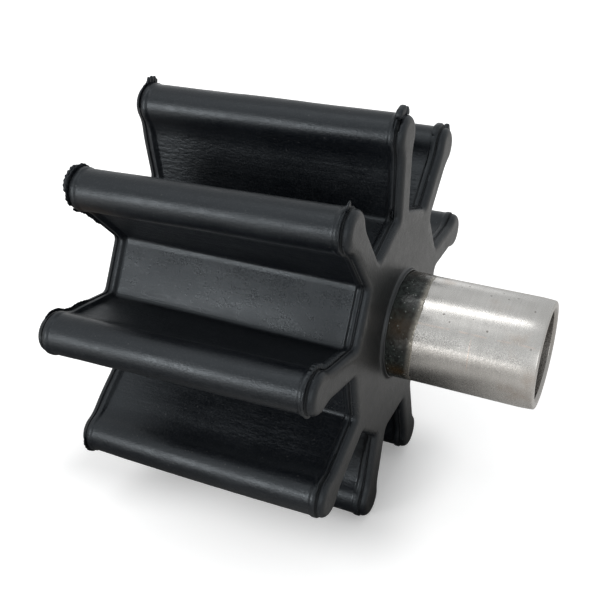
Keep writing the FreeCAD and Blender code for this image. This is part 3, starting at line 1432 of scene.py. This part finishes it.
@dataclass(frozen=True)
class MouldedRubber(Finish):
    """Blue-black moulded rubber with a leathery grain, fine streaks, a warm grey cut end, painted
    shade in its grooves and scars and painted bounce light on one blade.
    """

    deep: Colour = (0.0016, 0.0024, 0.0040)
    pale: Colour = (0.0052, 0.0064, 0.0085)
    end_deep: Colour = (0.0017, 0.0017, 0.0017)
    end_pale: Colour = (0.0108, 0.0103, 0.0097)
    # Brownish colour that paints bounce light on blade I's underside.
    stain: Colour = (0.038, 0.026, 0.018)
    fleck: Colour = (0.022, 0.023, 0.025)
    speck: Colour = (0.06, 0.06, 0.06)
    # Painted shade for the parting grooves and the scars.
    painted_groove_shade: Colour = (0.0015, 0.0015, 0.0018)
    roughness: float = 0.34
    relief_strength: float = 0.55
    relief_depth: float = 0.00022
    cloud_scale: float = 60.0
    mottle_scale: float = 420.0
    streak_scale: float = 700.0
    speck_scale: float = 1100.0
    leather_scale: float = 1500.0
    leather_stretch: tuple[float, float, float] = (1.0, 0.4, 1.0)
    grit_scale: float = 2000.0
    fleck_scale: float = 2700.0
    end_coat: float = 0.31
    coat_roughness: float = 0.3
    gloss_tint: tuple[float, float, float, float] = (0.87, 0.945, 1.0, 1.0)

    def patterns(self, graph: Graph, place: Any) -> dict[str, Any]:
        """Adds the noises, streaks, pebbles and specks.

        Args:
            graph: Where the nodes are added.
            place: The Object coordinates.

        Returns:
            The patterns' values by name.
        """
        return {
            "cloud": graph.noise(place, self.cloud_scale, 4.0, 0.6),
            "mottle": graph.noise(place, self.mottle_scale, 3.0, 0.6),
            "flecks": graph.noise(place, self.fleck_scale, 2.0, 0.6),
            "streak": graph.group(self.effects.streaks, {
                "Vector": place, "Squeeze": (1.0, 0.06, 1.0), "Scale": self.streak_scale}),
            "leather": graph.group(self.effects.grain, {
                "Vector": graph.stretched(place, self.leather_stretch),
                "Scale": self.leather_scale, "Fine": 0.6}),
            "grit": graph.group(self.effects.grain, {
                "Vector": place, "Scale": self.grit_scale, "Fine": 0.5}),
            "specks": graph.group(self.effects.specks, {
                "Vector": place, "Scale": self.speck_scale, "Share": 0.05, "Size": 0.2}),
        }

    def masks(self, graph: Graph, pattern: dict[str, Any]) -> dict[str, Any]:
        """Reads the mesh's marks and works out where leather and lines are, and where shade is
        painted into grooves and scars.

        Args:
            graph: Where the nodes are added.
            pattern: The patterns by name.

        Returns:
            The masks by name.
        """
        mask = {name: graph.mark(name) for name in
                ("end_face", "groove", "rim", "scar", "stain", "leather", "web", "land")}
        side = graph.math("SUBTRACT", 1.0, mask["rim"], clamp=True)
        leather = graph.times(graph.scaled(mask["leather"], 0.8, 0.12),
                              graph.span(pattern["cloud"], 0.35, 0.6, 0.45, 1.0))
        leather = graph.times(leather, graph.scaled(mask["web"], 0.97, 0.03))
        mask["leather"] = graph.times(leather, side)
        mask["lined"] = graph.times(side, graph.math("SUBTRACT", 1.0, mask["land"], clamp=True))
        soft = graph.scaled(graph.math("MAXIMUM", mask["web"], mask["land"]), -0.5, 0.9)
        # Painted shade: the parting grooves, less on webs and lands, and the scars are darkened in
        # the colour.
        mask["dark"] = graph.math("MAXIMUM", graph.times(mask["groove"], soft), mask["scar"])
        return mask

    def colour(self, graph: Graph, pattern: dict[str, Any], mask: dict[str, Any]) -> Any:
        """Works out the colour: clouds and streaks, then flecks, painted bounce light and painted
        shade in grooves and scars on top.

        Args:
            graph: Where the nodes are added.
            pattern: The patterns by name.
            mask: The masks by name.

        Returns:
            The colour.
        """
        cloudy = graph.times(graph.spread(pattern["cloud"]), 0.6)
        streaky = graph.times(graph.span(pattern["streak"], 0.35, 0.65), mask["lined"])
        mottled = graph.times(graph.spread(pattern["mottle"]), 0.4)
        side = graph.mix(graph.total(cloudy, graph.times(streaky, 0.4)), self.deep, self.pale)
        end = graph.mix(graph.total(cloudy, mottled), self.end_deep, self.end_pale)
        colour = graph.mix(mask["end_face"], side, end)
        colour = graph.mix(graph.span(pattern["flecks"], 0.52, 0.66, 0.0, 0.5), colour, self.fleck)
        colour = graph.mix(graph.times(pattern["specks"], 0.5), colour, self.speck)
        # Painted bounce light: a brownish lit patch on blade I's underside.
        painted_bounce = graph.times(mask["stain"], graph.span(pattern["mottle"], 0.35, 0.6, 0.3, 1.0))
        colour = graph.mix(painted_bounce, colour, self.stain)
        # Painted shade in the grooves and scars.
        return graph.mix(mask["dark"], colour, self.painted_groove_shade)

    def gloss(self, graph: Graph, pattern: dict[str, Any], mask: dict[str, Any]) -> Any:
        """Works out the roughness: duller webs and hollows, glossier lands, and clouds.

        Args:
            graph: Where the nodes are added.
            pattern: The patterns by name.
            mask: The masks by name.

        Returns:
            The roughness.
        """
        return graph.total(
            graph.spread(pattern["mottle"], self.roughness - 0.02, self.roughness + 0.04),
            graph.math("SUBTRACT", graph.times(mask["web"], 0.05), graph.times(mask["land"], 0.07)),
            graph.spread(pattern["cloud"], -0.03, 0.04),
            graph.times(graph.span(pattern["streak"], 0.4, 0.7), 0.06),
            graph.spread(pattern["flecks"], -0.03, 0.05),
            graph.times(mask["dark"], 0.35))

    def relief(self, graph: Graph, pattern: dict[str, Any], mask: dict[str, Any]) -> Any:
        """Works out the height of the grain: leather, grit and long fine lines.

        Args:
            graph: Where the nodes are added.
            pattern: The patterns by name.
            mask: The masks by name.

        Returns:
            The height.
        """
        leather = graph.times(pattern["leather"], graph.total(0.03, mask["leather"]))
        coarse = graph.scaled(mask["land"], -0.09, 0.18)
        grit = graph.times(pattern["grit"], graph.scaled(mask["end_face"], 0.10, coarse))
        lines = graph.times(mask["lined"], graph.scaled(mask["web"], 1.08, 0.22))
        return graph.total(leather, grit, graph.times(pattern["streak"], lines))

    def sockets(self, graph: Graph, place: Any) -> dict[str, Any]:
        """Adds the nodes of the rubber.

        Args:
            graph: Where they are added.
            place: The Object coordinates.

        Returns:
            Values and outputs by the name of the shader's socket.
        """
        pattern = self.patterns(graph, place)
        mask = self.masks(graph, pattern)
        return {
            "Base Color": self.colour(graph, pattern, mask),
            "Roughness": self.gloss(graph, pattern, mask),
            "Normal": self.bump(graph, self.relief(graph, pattern, mask)),
            "Coat Weight": graph.times(mask["end_face"], self.end_coat),
            "Coat Roughness": self.coat_roughness,
            "Specular Tint": self.gloss_tint,
        }


@dataclass(frozen=True)
class BrushedStainless(Finish):
    """Turned stainless tube, finely brushed round its axis, with pits, a warm discolouration,
    painted shade in its bore and a painted glint on a ring tool mark.
    """

    relief_strength: float = 0.20
    bright: Colour = (0.69, 0.672, 0.648)
    dull: Colour = (0.56, 0.543, 0.52)
    # On the steel this colour is a warm discolouration in random clouds.
    stain: Colour = (0.47, 0.39, 0.33)
    # Darker colour inside the bore: painted shade.
    bore: Colour = (0.33, 0.31, 0.29)
    pit: Colour = (0.10, 0.08, 0.07)
    # Pale colour of the scratch and the ring tool mark; on the tool mark it is a painted glint.
    mark: Colour = (0.80, 0.66, 0.58)
    roughness: tuple[float, float] = (0.24, 0.28)
    ring_scale: float = 2600.0
    broad_scale: float = 320.0
    pit_scale: float = 900.0
    cloud_scale: float = 90.0
    grain_scale: float = 2400.0
    bore_shade_edge: tuple[float, float] = (0.0099, 0.0106)
    scratch_turn: float = 35.0
    mark_width: tuple[float, float] = (0.00005, 0.00022)
    mark_station: float = 0.0497
    mark_turn: float = 0.24
    # Where the tool mark shows: only the arc that takes the lower highlight.
    glint_facing: tuple[float, float] = (0.0112, 0.0117)

    def scratch(self, graph: Graph, place: Any) -> Any:
        """Adds a thin broken line along the tube, wandering a little to both sides.

        Args:
            graph: Where the nodes are added.
            place: The Object coordinates.

        Returns:
            The line's mask.
        """
        angle = math.radians(self.scratch_turn)
        side = graph.dot(place, (math.sin(angle), 0.0, -math.cos(angle)))
        wander = graph.times(graph.math("SUBTRACT", graph.noise(place, 60.0, 1.0), 0.5), 0.0012)
        near = graph.span(graph.math("ABSOLUTE", graph.total(side, wander)),
                          0.00008, 0.00028, 1.0, 0.0)
        front = graph.dot(place, (math.cos(angle), 0.0, math.sin(angle)))
        shown = graph.times(near, graph.math("GREATER_THAN", front, 0.0))
        return graph.times(shown, graph.span(graph.noise(place, 500.0, 2.0), 0.35, 0.6))

    def tool_mark_with_glint(self, graph: Graph, place: Any, station: Any) -> Any:
        """Adds a short ring tool mark, pale only across the side that faces out and a little up,
        where the lower highlight falls: the pale colour there is a painted glint.

        Args:
            graph: Where the nodes are added.
            place: The Object coordinates.
            station: Their part along the axis.

        Returns:
            The mark's mask.
        """
        apart = graph.math("ABSOLUTE", graph.math("SUBTRACT", station, self.mark_station))
        facing = graph.dot(place, (math.cos(self.mark_turn), 0.0, math.sin(self.mark_turn)))
        return graph.times(graph.span(apart, *self.mark_width, 1.0, 0.0),
                           graph.span(facing, *self.glint_facing))

    def sockets(self, graph: Graph, place: Any) -> dict[str, Any]:
        """Adds the nodes of the steel: brushing and clouds, then warm discolouration, pits, painted
        shade in the bore, and marks with a painted glint.

        Args:
            graph: Where they are added.
            place: The Object coordinates.

        Returns:
            Values and outputs by the name of the shader's socket.
        """
        rings = graph.group(self.effects.streaks, {
            "Vector": place, "Squeeze": (0.03, 1.0, 0.03), "Scale": self.ring_scale})
        broad = graph.group(self.effects.streaks, {
            "Vector": place, "Squeeze": (0.06, 1.0, 0.06), "Scale": self.broad_scale})
        pits = graph.group(self.effects.specks, {
            "Vector": place, "Scale": self.pit_scale, "Share": 0.06, "Size": 0.2})
        cloud = graph.noise(place, self.cloud_scale, 4.0, 0.6)
        grain = graph.noise(place, self.grain_scale, 3.0, 0.6)
        parts = graph.node("SeparateXYZ", {0: place}).outputs
        radius = graph.length(graph.node("CombineXYZ", {0: parts[0], 2: parts[2]}).outputs[0])
        line = graph.math("MAXIMUM", self.tool_mark_with_glint(graph, place, parts[1]),
                          self.scratch(graph, place))
        tone = graph.total(graph.times(graph.spread(rings), 0.5),
                           graph.times(graph.spread(cloud), 0.5))
        colour = graph.mix(tone, self.dull, self.bright)
        colour = graph.mix(graph.span(cloud, 0.56, 0.72, 0.0, 0.5), colour, self.stain)
        colour = graph.mix(graph.times(pits, 0.6), colour, self.pit)
        # Painted shade inside the bore.
        colour = graph.mix(graph.span(radius, *self.bore_shade_edge, 0.6, 0.0), colour, self.bore)
        # Pale scratch and tool mark; on the tool mark the pale colour is a painted glint.
        colour = graph.mix(graph.times(line, 0.5), colour, self.mark)
        height = graph.total(graph.times(rings, 0.5), graph.times(grain, 0.2))
        height = graph.math("SUBTRACT", height, graph.times(pits, 0.8))
        return {
            "Base Color": colour,
            "Roughness": graph.total(graph.span(broad, 0.35, 0.65, *self.roughness),
                                     graph.spread(grain, -0.03, 0.05)),
            "Normal": self.bump(graph, graph.total(height, graph.times(line, 0.6))),
            "Metallic": 1.0,
        }


@dataclass(frozen=True)
class CuredFilm(Finish):
    """Dark green-grey glossy film with pale specks and brown patches, thinned to steel."""

    green: Colour = (0.031, 0.039, 0.035)
    brown: Colour = (0.036, 0.021, 0.007)
    black: Colour = (0.003, 0.004, 0.004)
    steel: Colour = (0.34, 0.32, 0.28)
    speck: Colour = (0.33, 0.36, 0.34)
    roughness: tuple[float, float] = (0.32, 0.20)
    patch_scale: float = 190.0
    mottle_scale: float = 1300.0
    speck_scale: float = 1500.0

    def sockets(self, graph: Graph, place: Any) -> dict[str, Any]:
        """Adds the nodes of the film: mottled, browned in patches, specked, and worn thin.

        Args:
            graph: Where they are added.
            place: The Object coordinates.

        Returns:
            Values and outputs by the name of the shader's socket.
        """
        patch = graph.noise(place, self.patch_scale, 3.0, 0.6)
        mottle = graph.noise(place, self.mottle_scale, 4.0, 0.7)
        specks = graph.group(self.effects.specks, {
            "Vector": place, "Scale": self.speck_scale, "Share": 0.2, "Size": 0.25})
        # On the film this mark holds the brown patches of the bonding agent.
        browned = graph.times(graph.mark("stain"), graph.span(patch, 0.3, 0.55, 0.5, 1.0))
        worn = graph.times(graph.mark("thin"), graph.span(mottle, 0.25, 0.6, 0.5, 1.0))
        colour = graph.mix(graph.span(mottle, 0.40, 0.62), self.black, self.green)
        colour = graph.mix(browned, colour, self.brown)
        colour = graph.mix(graph.times(specks, 0.45), colour, self.speck)
        return {
            "Base Color": graph.mix(worn, colour, self.steel),
            "Metallic": graph.math("MAXIMUM", worn, graph.span(mottle, 0.5, 0.7, 0.05, 0.2)),
            "Roughness": graph.span(mottle, 0.35, 0.65, *self.roughness),
            "Normal": self.bump(graph, mottle),
        }


# --------- studio ---------


@dataclass(frozen=True)
class Softbox:
    """Rectangular lamp that looks at the part from a direction."""

    name: str
    direction: tuple[float, float, float]
    distance: float
    size: tuple[float, float]
    power: float


@dataclass(frozen=True)
class PaleFloor:
    """Wide pale square under the part, white to the camera apart from the part's shadow.

    Lamps and reflections see a painted shadow: the floor is darker near the part. The emission that
    keeps the floor white to the camera is weaker near the part, which paints the shadow deeper
    there.
    The reach is the distance from the part's footprint in metres.
    """

    level: float
    half_side: float = 4000.0
    footprint_middle: float = -0.006
    footprint_half_length: float = 0.036
    footprint_half_width: tuple[float, float] = (0.026, 0.015)
    narrowing: tuple[float, float] = (-0.035, 0.0)
    seen: tuple[Colour, Colour] = ((0.995, 0.984, 0.978), (1.0, 0.993, 0.988))
    # Tone near the part for lamps and reflections: a painted shadow.
    painted_shadow_tone: Colour = (0.12, 0.118, 0.115)
    far_tone: Colour = (0.80, 0.775, 0.75)
    roughness: float = 0.9
    gloss: float = 0.1

    def reach(self, graph: Graph, parts: Any) -> Any:
        """Works out the distance from a rounded box that is narrower at its near end.

        Args:
            graph: Where the nodes are added.
            parts: The Object coordinates' three parts.

        Returns:
            The distance, 0 inside the box.
        """
        aside = graph.math("SUBTRACT", graph.math("ABSOLUTE", parts[0]),
                           graph.span(parts[1], *self.narrowing, *self.footprint_half_width))
        along = graph.math("ABSOLUTE", graph.math("SUBTRACT", parts[1], self.footprint_middle))
        along = graph.math("SUBTRACT", along, self.footprint_half_length)
        return graph.length(graph.node("CombineXYZ", {
            0: graph.math("MAXIMUM", aside, 0.0),
            1: graph.math("MAXIMUM", along, 0.0)}).outputs[0])

    def unseen_tone(self, graph: Graph, parts: Any, reach: Any) -> Any:
        """Works out the tone for light and reflections: pale far away, behind and in front, and
        darker near the part as a painted shadow.

        Args:
            graph: Where the nodes are added.
            parts: The Object coordinates' three parts.
            reach: The distance from the footprint.

        Returns:
            The colour.
        """
        behind = graph.math("SUBTRACT", parts[1], graph.times(parts[0], 0.6))
        open_floor = graph.times(graph.span(reach, 0.0, 0.055), graph.span(behind, -0.09, 0.02))
        open_floor = graph.math("MAXIMUM", open_floor, graph.span(reach, 0.07, 0.15))
        near_end = graph.span(parts[1], 0.030, 0.055, 0.0, 0.80)
        open_floor = graph.math("MAXIMUM", open_floor, near_end)
        # Painted shadow: the floor is darker near the part.
        return graph.mix(open_floor, self.painted_shadow_tone, self.far_tone)

    def build(self) -> None:
        """Makes the floor: its emission for the camera grows with the reach, which paints the
        shadow deeper near the part.
        """
        work = Patchwork()
        line = np.linspace(-self.half_side, self.half_side, 9)
        x, y = np.meshgrid(line, line, indexing="ij")
        work.add(xyz(x, y, self.level / MM), flip=True)
        piece = work.mesh("pale_floor")
        material, graph, shader, place = new_material("pale_floor")
        parts = graph.node("SeparateXYZ", {0: place}).outputs
        reach = self.reach(graph, parts)
        from_camera = graph.node("LightPath").outputs["Is Camera Ray"]
        seen = graph.mix(graph.noise(place, 40.0, 2.0), *self.seen)
        graph.fill(shader, {
            "Base Color": graph.mix(from_camera, self.unseen_tone(graph, parts, reach), seen),
            "Roughness": self.roughness,
            "Specular IOR Level": self.gloss,
        })
        # Painted shadow: the camera's emission is weaker near the part.
        level = graph.total(graph.span(reach, -0.006, 0.018, 0.11, 0.47),
                            graph.span(reach, 0.02, 0.10, 0.0, 0.10))
        painted_shadow_glow = graph.node("Emission", {"Color": (1.0, 1.0, 1.0, 1.0), "Strength": level})
        lit = graph.node("AddShader", {0: shader.outputs[0], 1: painted_shadow_glow.outputs[0]})
        mixed = graph.node("MixShader", {0: from_camera, 1: shader.outputs[0], 2: lit.outputs[0]})
        output = next(node for node in graph.tree.nodes if node.type == "OUTPUT_MATERIAL")
        graph.tree.links.new(mixed.outputs[0], output.inputs["Surface"])
        piece.data.materials.append(material)


@dataclass
class Studio:
    """Camera, lamps, world and the pale floor."""

    azimuth: float = 115.23
    elevation: float = 28.376
    place: tuple[float, float, float] = (0.15925, 0.08150, 0.09517)
    lens: float = 51.10
    floor_level: float = -0.04598
    surround: float = 0.64
    mirrored: float = 0.66
    surround_tint: Colour = (0.97, 0.99, 1.0)
    lamps: tuple[Softbox, ...] = (
        Softbox("left_window", (0.870, -0.480, 0.145), 0.45, (0.17, 0.135), 0.64),
        Softbox("sleeve_window", (0.972, -0.100, -0.110), 0.45, (0.10, 0.05), 0.06),
        Softbox("overhead_strip", (0.155, -0.200, 0.965), 0.80, (0.12, 0.34), 0.45),
        Softbox("front_high", (0.500, -0.370, 0.780), 0.80, (0.40, 0.30), 0.26),
        Softbox("back_panel", (-0.500, -0.370, 0.780), 0.80, (0.50, 0.50), 0.06),
        Softbox("low_backdrop", (-0.880, -0.380, 0.270), 0.80, (0.50, 0.28), 0.19),
        Softbox("near_front", (0.850, 0.450, 0.250), 0.80, (0.40, 0.40), 0.60),
    )

    def camera(self) -> None:
        """Places the camera at its fitted place, looking along the photograph's view."""
        turn, lift = math.radians(self.azimuth), math.radians(self.elevation)
        back = Vector((math.sin(turn) * math.cos(lift), -math.cos(turn) * math.cos(lift),
                       math.sin(lift)))
        right = Vector((math.cos(turn), math.sin(turn), 0.0))
        up = back.cross(right)
        data = bpy.data.cameras.new("view")
        data.sensor_width = 36.0
        data.lens = self.lens
        data.clip_start, data.clip_end = 0.01, 20.0
        eye = bpy.data.objects.new("view", data)
        turned = Matrix((right, up, back)).transposed().to_4x4()
        turned.translation = Vector(self.place)
        eye.matrix_world = turned
        bpy.context.scene.collection.objects.link(eye)
        bpy.context.scene.camera = eye

    def light(self) -> None:
        """Makes the lamps, each turned to face the part."""
        for lamp in self.lamps:
            data = bpy.data.lights.new(lamp.name, "AREA")
            data.shape = "RECTANGLE"
            data.size, data.size_y = lamp.size
            data.energy = lamp.power
            box = bpy.data.objects.new(lamp.name, data)
            way = Vector(lamp.direction).normalized()
            box.matrix_world = way.to_track_quat("Z", "Y").to_matrix().to_4x4()
            box.location = way * lamp.distance
            box.visible_camera = False
            bpy.context.scene.collection.objects.link(box)

    def world(self) -> None:
        """Makes the surroundings: white to the camera, softer for light and reflections."""
        world = bpy.data.worlds.new("studio")
        world.use_nodes = True
        world.node_tree.nodes.clear()
        graph = Graph(world.node_tree)
        path = graph.node("LightPath").outputs
        mirrored = graph.times(path["Is Glossy Ray"], self.mirrored)
        level = graph.math("MAXIMUM", path["Is Camera Ray"], path["Is Transmission Ray"])
        level = graph.math("MAXIMUM", level, graph.math("MAXIMUM", mirrored, self.surround))
        tint = graph.mix(path["Is Camera Ray"], self.surround_tint, (1.0, 1.0, 1.0))
        back = graph.node("Background", {"Color": tint, "Strength": level})
        graph.node("OutputWorld", {"Surface": back.outputs[0]})
        bpy.context.scene.world = world

    def build(self) -> None:
        """Makes the whole stage and sets the view transform."""
        self.camera()
        self.light()
        self.world()
        PaleFloor(self.floor_level).build()
        bpy.context.scene.view_settings.view_transform = "Standard"


# --------- putting it together ---------


def dress(piece: bpy.types.Object, material: bpy.types.Material, slot: str,
          *nodes: str) -> None:
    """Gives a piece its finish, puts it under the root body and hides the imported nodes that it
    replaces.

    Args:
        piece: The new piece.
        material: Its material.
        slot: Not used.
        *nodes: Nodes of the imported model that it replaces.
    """
    piece.data.materials.append(material)
    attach(piece, "root")
    if nodes:
        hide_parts(*nodes)
    LOG.info("%s: %d faces", piece.name, len(piece.data.polygons))


def corners(box: Any) -> list[list[float]]:
    """Lowest and highest corner of a box as plain lists."""
    return [[float(value) for value in corner] for corner in box]


def main() -> None:
    """Builds the stage and every piece."""
    logging.basicConfig(level=logging.INFO, format="%(name)s: %(message)s")
    Studio(floor_level=CAD_BOX[0][2]).build()
    effects = SharedEffects()
    rubber = MouldedRubber(effects).material("moulded_rubber")
    steel = BrushedStainless(effects).material("stainless_steel")
    film = CuredFilm(effects).material("bonding_agent")
    body = ImpellerBody()
    dress(body.build(), rubber, "moulded_rubber", "impeller_body")
    dress(TornFlash(body).build(), rubber, "moulded_rubber")
    dress(DriveSleeve().build(), steel, "stainless_steel", "drive_sleeve")
    dress(BondFilm().build(), film, "bonding_agent", "bond_film")


if __name__ == "__main__":
    main()
